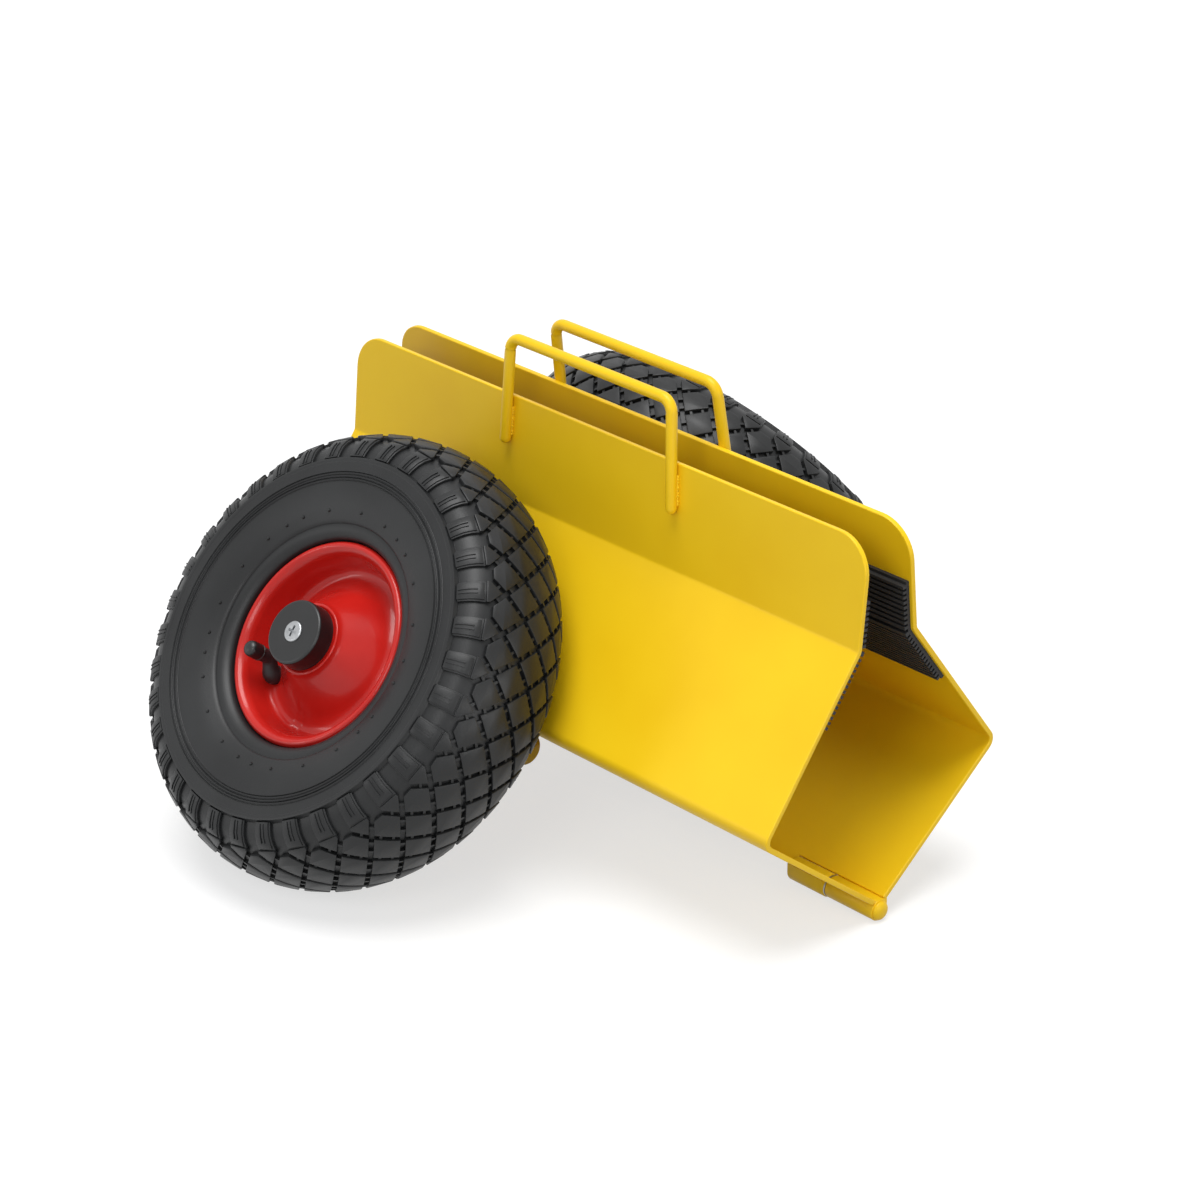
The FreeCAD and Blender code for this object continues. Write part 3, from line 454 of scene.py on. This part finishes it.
edge_distance = half_pitch * row_run / math.hypot(half_pitch, row_run)
keep_share = 1 - groove / 2 / edge_distance
tread = bmesh.new()
for u, w in ((half_pitch, 0.0), (0.0, row_run), (0.0, -row_run)):
    corners = [(u + half_pitch * keep_share, w), (u, w + row_run * keep_share),
               (u - half_pitch * keep_share, w), (u, w - row_run * keep_share)]
    raise_block(tread, corners, 0.0, block_bevel)
flat_half = half_pitch * (keep_share - (tread_edge - outer_row) / row_run)
for sign in (1, -1):
    corners = [(half_pitch, sign * row_run * (2 - keep_share)),
               (half_pitch * (1 + keep_share), sign * outer_row),
               (half_pitch + flat_half, sign * tread_edge),
               (half_pitch - flat_half, sign * tread_edge),
               (half_pitch * (1 - keep_share), sign * outer_row)]
    raise_block(tread, corners, 0.0, block_bevel)
print("one pitch has 5 diamonds; the outer two are cut off", tread_edge, "mm from the crown")

# %% [markdown]
# A lug points at each crossing of the outer grooves. Past its point it carries a low plateau with two thin
# ribs, and the gap to the next lug is left open down to the casing.

# %% Shoulder lugs, plateaus and ribs
lug_foot, lug_half, lug_end = 53.0, 6.6, 36.0
lug_point = outer_row + groove / 2 * row_run / edge_distance
lug_corner = lug_point + lug_half * row_run / half_pitch
low_start, low_top = 35.0, -1.1
plateau_half, plateau_start, plateau_top = 5.4, 37.2, -0.35
rib_offset, rib_half, rib_start, rib_end, rib_top = 1.3, 0.4, 41.0, 52.0, 0.1
soft_bevel = 0.3


def patch(middle, half, start, end):
    """Corners of a rectangle across the shoulder, from one distance to another."""
    return [(middle + half, start), (middle + half, end), (middle - half, end), (middle - half, start)]


for sign in (1, -1):
    point = [(0.0, sign * lug_point), (lug_half, sign * lug_corner), (lug_half, sign * lug_end),
             (-lug_half, sign * lug_end), (-lug_half, sign * lug_corner)]
    raise_block(tread, point, 0.0, block_bevel)
    raise_block(tread, patch(0.0, lug_half, sign * low_start, sign * lug_foot), low_top, soft_bevel)
    plateau = patch(0.0, plateau_half, sign * plateau_start, sign * lug_foot)
    raise_block(tread, plateau, plateau_top, soft_bevel)
    for u in (-rib_offset, rib_offset):
        raise_block(tread, patch(u, rib_half, sign * rib_start, sign * rib_end), rib_top, 0.0)
print("lugs reach from", round(lug_point, 1), "to", lug_foot, "mm")

# %% Ties across the grooves
tie_width, tie_depth, tie_overlap = 1.5, 1.0, 0.3
tie_shares, lug_tie_share = (0.3, 0.7), 0.33
half_groove = groove / 2 + tie_overlap
ties = []
for sign in (1, -1):
    inner_crossing = Vector((half_pitch, sign * row_run))
    for crossing in ((0.0, 0.0), (pitch, 0.0), (0.0, sign * outer_row), (pitch, sign * outer_row)):
        ties += [(Vector(crossing), inner_crossing, share) for share in tie_shares]
    lug_crossing = Vector((0.0, sign * outer_row))
    for across in (-1, 1):
        outward = Vector((across * half_pitch, sign * row_run))
        ties.append((lug_crossing, lug_crossing + outward, lug_tie_share))
for start, end, share in ties:
    run = (end - start).normalized()
    over = Vector((-run.y, run.x))
    centre = start.lerp(end, share)
    corners = [centre + run * a * tie_width / 2 + over * b * half_groove
               for a, b in ((1, 1), (-1, 1), (-1, -1), (1, -1))]
    raise_block(tread, [tuple(corner) for corner in corners], -tie_depth, 0.0)
print("flat pitch:", len(tread.faces), "faces and", len(ties), "ties")

# %% [markdown]
# The flat blocks have straight tops, and the tyre is round, so the strip is sliced across before it is
# wrapped, and the slices follow the curve.

# %% Slice the strip, copy it round and wrap it
slice_reach, slice_step = 50, 5
first_lug = math.radians(2.5)
for w in range(-slice_reach, slice_reach + 1, slice_step):
    bmesh.ops.bisect_plane(tread, geom=tread.verts[:] + tread.edges[:] + tread.faces[:],
                           plane_co=(0, w, 0), plane_no=(0, 1, 0))
one_pitch = tread.verts[:] + tread.edges[:] + tread.faces[:]
for turn in range(1, pitch_count):
    copy = bmesh.ops.duplicate(tread, geom=one_pitch)["geom"]
    moved = [item for item in copy if isinstance(item, bmesh.types.BMVert)]
    bmesh.ops.translate(tread, verts=moved, vec=(turn * pitch, 0, 0))
for vert in tread.verts:
    u, w, h = vert.co
    angle = first_lug + 2 * math.pi * u / pitch / pitch_count
    station, radius = on_outline(w, h)
    vert.co = Vector((math.cos(angle) * radius, math.sin(angle) * radius, station)) * mm
print("wrapped tread:", len(tread.faces), "faces")

# %% [markdown]
# Under the blocks is the casing. Its section is spun round the axle: sunk under the tread, plain on the
# side wall with a low band and a few fine mould rings, and stepped at the bead where it meets the rim.

# %% Casing section
ring_start, ring_pitch, ring_count, ring_height, ring_power = 61.5, 1.7, 4, 0.8, 8
ring_end = ring_start + ring_pitch * ring_count
band_start, band_end, band_height, band_power = 53.6, 56.6, 0.25, 0.5
sink_edge, sink_run, sink_depth = lug_foot + 1.0, 1.5, tread_depth - 0.3
fine_start, fine_end, fine_step, coarse_step = 50.0, ring_end + 1.0, 0.2, 1.6
wall_end = reach[-1] - 1.0
bead_points = [(36.8, 69.4), (36.2, 68.4), (35.3, 67.9), (35.3, 67.2), (35.2, 66.0), (34.8, 64.6),
               (34.2, 63.2), (33.4, 62.0), (32.4, 60.9), (31.0, 60.2), (27.2, 60.0), (27.1, 58.4),
               (25.0, 53.5), (15.5, 52.2)]
lining_points = [(18.0, 58.0), (23.9, 62.6), (33.0, 76.0), (36.4, 92.0), (32.0, 106.0), (18.0, 117.5),
                 (0.0, 121.6)]
section = []
w = 0.0
while w < wall_end:
    sunk = min(max((sink_edge - w) / sink_run, 0.0), 1.0) * sink_depth
    relief = 0.0
    if ring_start <= w <= ring_end:
        relief = ring_height * math.sin(math.pi * (w - ring_start) / ring_pitch) ** ring_power
    if band_start <= w <= band_end:
        relief = band_height * math.sin(math.pi * (w - band_start) / (band_end - band_start)) ** band_power
    section.append(on_outline(w, relief - sunk))
    w += fine_step if fine_start < w < fine_end else coarse_step
section += bead_points + lining_points
print("casing section:", len(section), "points on each side")

# %% Spin the casing, add vent nubs and dress both wheels
spin_steps = 168
ball_sides, ball_rings = 8, 6
nub_count, nub_radius, nub_station, nub_size = 26, 74.6, 38.8, 1.1
nub_drift, nub_rhythm = 0.3, 5.0


def spun(points, steps, closed):
    """Bmesh of a (station, radius) line in millimetres, spun round the axle."""
    shape = bmesh.new()
    verts = [shape.verts.new((radius * mm, 0, station * mm)) for station, radius in points]
    edges = [shape.edges.new(pair) for pair in zip(verts, verts[1:])]
    if closed:
        edges.append(shape.edges.new((verts[-1], verts[0])))
    bmesh.ops.spin(shape, geom=verts + edges, cent=(0, 0, 0), axis=(0, 0, 1), angle=2 * math.pi,
                   steps=steps, use_merge=True)
    bmesh.ops.remove_doubles(shape, verts=shape.verts, dist=0.01 * mm)
    return shape


def ball(shape, place, radius):
    """Add a small round blob with few faces at a place in millimetres."""
    bmesh.ops.create_uvsphere(shape, u_segments=ball_sides, v_segments=ball_rings, radius=radius * mm,
                              matrix=Matrix.Translation(place * mm))


mirrored = [(-station, radius) for station, radius in section]
casing = spun(section + mirrored[-2:0:-1], spin_steps, True)
for index in range(nub_count):
    angle = 2 * math.pi * (index + nub_drift * math.sin(nub_rhythm * index)) / nub_count
    for sign in (1, -1):
        place = Vector((math.cos(angle) * nub_radius, math.sin(angle) * nub_radius, sign * nub_station))
        ball(casing, place, nub_size)
tyre_parts = bpy.data.meshes.new("tyre_parts")
casing.to_mesh(tyre_parts)
casing.free()
tread.from_mesh(tyre_parts)
tread.to_mesh(tyre_parts)
tread.free()
for side in sides:
    whole = bmesh.new()
    whole.from_mesh(tyre_parts)
    tyre = finished(side + "_treaded_tyre", whole, side + "_wheel", "tyre", wheel_axes(side), 30.0)
    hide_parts(side + "_tyre")

# %% [markdown]
# ## Rims
# Each rim is pressed from sheet. The outer disc has a rolled lip, a wide seat for the bead, a valley and
# a bell that rises to the hub, and a pocket pressed outwards round the valve. The sheet's middle line is
# drawn with sharp corners, each corner is rounded with a vertex bevel, and the line is spun. The pocket is
# then pushed up out of the valley, and the sheet gets its thickness last.

# %% Rounded line of the rim's section
rim_corners = [(28.4, 58.9, 0.0), (31.0, 57.2, 1.3), (28.2, 53.5, 2.2), (9.5, 49.8, 5.0), (9.5, 39.5, 7.0),
               (35.0, 19.6, 3.0), (37.5, 19.6, 0.0)]
corner_segments = 6


def rounded_line(corners, segments):
    """Ordered (station, radius) points of a line, with each corner cut back and rounded by a vertex bevel."""
    shape = bmesh.new()
    verts = [shape.verts.new((station, radius, 0)) for station, radius, _ in corners]
    for pair in zip(verts, verts[1:]):
        shape.edges.new(pair)
    for vert, (_, _, cut) in zip(verts[1:-1], corners[1:-1]):
        bmesh.ops.bevel(shape, geom=[vert], offset=cut, offset_type="OFFSET", segments=segments,
                        profile=0.5, affect="VERTICES", material=-1)
    start = verts[0]
    points = [start.co.copy()]
    edge = start.link_edges[0]
    while True:
        start = edge.other_vert(start)
        points.append(start.co.copy())
        onward = [other for other in start.link_edges if other != edge]
        if not onward:
            break
        edge = onward[0]
    shape.free()
    return [(point.x, point.y) for point in points]


rim_line = rounded_line(rim_corners, corner_segments)
print("rim line:", len(rim_line), "points")

# %% Spin the discs and press the valve pocket
rim_steps, rim_span, rim_sheet = 180, 1.5, 2.0
pocket_angle, pocket_half, pocket_wall = [math.radians(angle) for angle in (-145.0, 53.0, 6.0)]
pocket_rise, pocket_top, pocket_fade = 2.0, 26.0, 14.0


def ease(value):
    """Smooth step from 0 to 1."""
    t = min(max(value, 0.0), 1.0)
    return t * t * (3 - 2 * t)


def press_pocket(shape):
    """Push the valley outwards over the arc of the pocket."""
    for vert in shape.verts:
        turn = math.atan2(vert.co.y, vert.co.x) - pocket_angle
        turn = abs((turn + math.pi) % (2 * math.pi) - math.pi)
        in_arc = ease((pocket_half - turn) / pocket_wall)
        in_valley = ease((pocket_top - vert.co.z / mm) / pocket_fade)
        vert.co.z += pocket_rise * mm * in_arc * in_valley


def fine_line(points, longest):
    """The same line with its long spans divided."""
    fine = [points[0]]
    for start, end in zip(points, points[1:]):
        count = max(1, math.ceil(math.dist(start, end) / longest))
        for step in range(1, count + 1):
            fine.append(tuple(a + (b - a) * step / count for a, b in zip(start, end)))
    return fine


for side in sides:
    disc = spun(fine_line(rim_line, rim_span), rim_steps, False)
    press_pocket(disc)
    rim = finished(side + "_pressed_rim", disc, side + "_wheel", "red_paint", wheel_axes(side), 50.0)
    sheet = rim.modifiers.new("sheet", "SOLIDIFY")
    sheet.thickness = rim_sheet * mm
    sheet.offset = 0.0
    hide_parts(side + "_rim_outer_disc")

# %% [markdown]
# ## Valves
# The valve is a rubber stem that comes up through the pocket, turns in a round elbow and runs out beside
# the hub, with a moulded cap on its end. Circles of changing size are strung along its middle line and
# joined with quads. A curve with a bevel would give one thickness only.

# %% Middle line of the valve
valve_x, elbow_y, stem_y = -34.2, -26.4, -19.0
step_start, step_length = 16.0, 10.0


def valve_place(station):
    """Middle of the valve at a station, on a line that steps sideways past the elbow."""
    share = ease((station - step_start) / step_length)
    return Vector((valve_x, elbow_y + (stem_y - elbow_y) * share, station))


print("the valve steps", round(stem_y - elbow_y, 1), "mm sideways")

# %% Stem and cap of each valve
valve_sides = 28
stem_sizes = [(9.0, 4.4), (11.5, 4.7), (12.8, 5.2), (14.2, 5.6), (15.8, 5.7), (17.4, 5.5), (18.8, 5.0),
              (20.0, 4.5), (22.0, 4.2), (24.0, 4.1), (26.0, 4.1), (30.0, 4.1), (34.5, 4.1)]
cap_sizes = [(32.4, 4.4), (32.6, 4.7), (33.4, 4.75), (33.6, 4.55), (34.2, 4.55), (34.4, 4.75), (39.8, 4.6),
             (41.0, 4.2), (41.9, 3.4), (42.4, 2.2), (42.6, 1.0)]
valve_parts = (("valve_stem", "bent", stem_sizes, "valve_rubber"),
               ("valve_cap", "moulded", cap_sizes, "black_plastic"))


def swept(places, radii, ring_sides):
    """Bmesh of circles strung along a line of places in millimetres, closed at both ends."""
    shape = bmesh.new()
    rings = []
    for index, (place, radius) in enumerate(zip(places, radii)):
        run = places[min(index + 1, len(places) - 1)] - places[max(index - 1, 0)]
        turn = run.to_track_quat("Z", "Y").to_matrix().to_4x4()
        rings.append(bmesh.ops.create_circle(shape, segments=ring_sides, radius=radius * mm,
                                             matrix=Matrix.Translation(place * mm) @ turn)["verts"])
    for low, high in zip(rings, rings[1:]):
        for index in range(ring_sides):
            after = (index + 1) % ring_sides
            shape.faces.new((low[index], low[after], high[after], high[index]))
    shape.faces.new(rings[0])
    shape.faces.new(rings[-1])
    return shape


for side in sides:
    for node, look, sizes, slot in valve_parts:
        line = [valve_place(station) for station, _ in sizes]
        shape = swept(line, [radius for _, radius in sizes], valve_sides)
        piece = finished(f"{side}_{look}_{node}", shape, side + "_wheel", slot, wheel_axes(side), 40.0)
        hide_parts(side + "_" + node)

# %% [markdown]
# ## Handles
# Each handle is a bent round bar, welded flat against the flange of its jaw. Its corners are drawn in the
# dolly's own axes: X runs along the hinge, Y to the left and Z up from the fold. Every corner is bent to a
# radius, and circles are strung along the line as for the valve, with rounded ends.

# %% The dolly's own axes, and a line bent at its corners
hinge_drop = 2.5
upright = along_hinge.cross(Vector((0, 1, 0)))
dolly_axes = Matrix((along_hinge, (0, 1, 0), upright)).transposed().to_4x4()
dolly_axes.translation = Vector(joints["jaw_hinge"]["pos_m"]) + upright * hinge_drop * mm
mirror = Matrix.Scale(-1, 4, (0, 1, 0))
side_axes = {"right": dolly_axes, "left": dolly_axes @ mirror}


def bent_line(corners, radius, steps):
    """Points along a line of corners, with each inner corner bent to a radius."""
    line = [corners[0]]
    for before, corner, after in zip(corners, corners[1:], corners[2:]):
        back, onward = (before - corner).normalized(), (after - corner).normalized()
        half_turn = (math.pi - back.angle(onward)) / 2
        centre = corner + (back + onward).normalized() * radius / math.cos(half_turn)
        start = corner + back * radius * math.tan(half_turn) - centre
        end = corner + onward * radius * math.tan(half_turn) - centre
        line += [centre + start.slerp(end, step / steps) * radius for step in range(steps + 1)]
    return line + [corners[-1]]


print("hinge at", [round(x, 4) for x in joints["jaw_hinge"]["pos_m"]])

# %% Bent bars with rounded feet
handle_radius, handle_bend, bend_steps, handle_sides = 3.2, 8.0, 8, 24
handle_foot, handle_top = 195.0, 253.9
rear_leg, front_knee, front_foot = -69.0, 60.0, 65.5
flange_y, flange_z, flange_slope = -22.0, 195.7, math.tan(math.radians(5.5))
dome_angles = [math.radians(angle) for angle in (80.0, 60.0, 40.0, 20.0)]


def on_flange(x, height):
    """Place of the bar's middle line against the right flange."""
    return Vector((x, flange_y + (height - flange_z) * flange_slope, height))


handle_corners = [on_flange(rear_leg, handle_foot), on_flange(rear_leg, handle_top),
                  on_flange(front_knee, handle_top), on_flange(front_foot, handle_foot)]
for side in sides:
    line = bent_line(handle_corners, handle_bend, bend_steps)
    first = (line[0] - line[1]).normalized() * handle_radius
    last = (line[-1] - line[-2]).normalized() * handle_radius
    places = [line[0] + first * math.sin(a) for a in dome_angles] + line
    places += [line[-1] + last * math.sin(a) for a in reversed(dome_angles)]
    ends = [handle_radius * math.cos(a) for a in dome_angles]
    bar = swept(places, ends + [handle_radius] * len(line) + ends[::-1], handle_sides)
    piece = finished(side + "_bent_handle", bar, side + "_jaw", "yellow_paint", side_axes[side], 40.0)
    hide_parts(side + "_handle")

# %% [markdown]
# A short weld runs up both sides of each leg, where the bar touches the flange. A hand-laid bead is a row of
# small overlapping pools, so it is built as a row of blobs that swell and shrink a little.

# %% Weld beads beside the feet
pool_size, pool_count, pool_swell, pool_rhythm = 1.15, 11, 0.12, 2.4
weld_low, weld_high = 197.0, 212.0
weld_sides, weld_inset = (-3.0, 2.0), 2.6


def beside_leg(foot, knee, across, height):
    """Place beside a leg of the handle, against the flange, at a height."""
    share = (height - foot.z) / (knee.z - foot.z)
    return foot.lerp(knee, share) + Vector((across, weld_inset, 0.0))


legs = (handle_corners[:2], handle_corners[:1:-1])
for side in sides:
    welds = bmesh.new()
    for foot, knee in legs:
        for across in weld_sides:
            start = beside_leg(foot, knee, across, weld_low)
            end = beside_leg(foot, knee, across, weld_high)
            for index in range(pool_count):
                swell = pool_size * (1.0 + pool_swell * math.sin(pool_rhythm * index))
                ball(welds, start.lerp(end, index / (pool_count - 1)), swell)
    finished(side + "_handle_welds", welds, side + "_jaw", "yellow_paint", side_axes[side], 60.0)

# %% [markdown]
# ## Hinge
# A knuckle is a piece of thick tube with a short web up to its own base plate. Its section is drawn once
# and pushed out along the hinge, and its ends are eased. The inner pair belongs to the right jaw and
# the outer pair to the left. Each pin ends in a domed head.

# %% Knuckles
web_top, barrel_step, knuckle_ease = 2.9, 15, 0.6
knuckle_radii = {"right": 6.75, "left": 6.2}
knuckle_spans = {"right": (142.0, 169.0), "left": (170.0, 205.0)}


def knuckle(start, end, radius):
    """Bmesh of a right knuckle between two places along the hinge, from its web round under the pin."""
    shape = bmesh.new()
    angles = [math.radians(angle) for angle in range(180, 451, barrel_step)]
    section = [(-radius, web_top)]
    section += [(radius * math.cos(a), radius * math.sin(a) - hinge_drop) for a in angles]
    face = shape.faces.new([shape.verts.new(Vector((start, y, z)) * mm) for y, z in section])
    end_edges = list(face.edges)
    grown = bmesh.ops.extrude_face_region(shape, geom=[face])["geom"]
    bmesh.ops.translate(shape, verts=[item for item in grown if isinstance(item, bmesh.types.BMVert)],
                        vec=((end - start) * mm, 0, 0))
    end_edges += [item for item in grown if isinstance(item, bmesh.types.BMEdge)]
    bmesh.ops.bevel(shape, geom=end_edges, offset=knuckle_ease * mm, offset_type="OFFSET", segments=2,
                    profile=0.5, affect="EDGES", clamp_overlap=True, material=-1)
    return shape


for side in sides:
    start, end = knuckle_spans[side]
    for place, low, high in (("front", start, end), ("rear", -end, -start)):
        shape = knuckle(low, high, knuckle_radii[side])
        piece = finished(f"{side}_{place}_webbed_knuckle", shape, side + "_jaw", "yellow_paint",
                         side_axes[side], 40.0)
        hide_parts(f"{side}_{place}_knuckle")

# %% Pins with domed heads
pin_sides = 32
pin_sizes = [(142.0, 3.9), (204.8, 3.9), (205.0, 5.3), (205.4, 5.5), (206.0, 5.4), (206.7, 4.9),
             (207.3, 4.1), (207.8, 2.9), (208.05, 1.4)]
for place, sign in (("front", 1), ("rear", -1)):
    line = [Vector((sign * station, 0, -hinge_drop)) for station, _ in pin_sizes]
    pin = swept(line, [radius for _, radius in pin_sizes], pin_sides)
    piece = finished(place + "_domed_pin", pin, "right_jaw", "yellow_paint", dolly_axes, 40.0)
    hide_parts(place + "_hinge_pin")

# %% [markdown]
# ## Jaw plates
# The jaw plates come from the CAD model. A powder coat rounds every cut edge a little, so each plate is
# copied, its flat faces are joined up again and its edges are bevelled.

# %% Eased plate edges
plate_ease = 0.6
flat_angle, cut_angle = math.radians(0.5), math.radians(50.0)
for side in sides:
    node = frame["nodes"][side + "_jaw_plate"]
    plate = bmesh.new()
    plate.from_mesh(node.data)
    bmesh.ops.remove_doubles(plate, verts=plate.verts, dist=0.001 * mm)
    bmesh.ops.dissolve_limit(plate, angle_limit=flat_angle, verts=plate.verts, edges=plate.edges)
    cut_edges = [edge for edge in plate.edges
                 if len(edge.link_faces) == 2 and edge.calc_face_angle() > cut_angle]
    bmesh.ops.bevel(plate, geom=cut_edges, offset=plate_ease * mm, offset_type="OFFSET", segments=2,
                    profile=0.5, affect="EDGES", clamp_overlap=True, material=-1)
    piece = finished(side + "_eased_jaw_plate", plate, side + "_jaw", "yellow_paint", node.matrix_world, 18.0)
    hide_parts(side + "_jaw_plate")
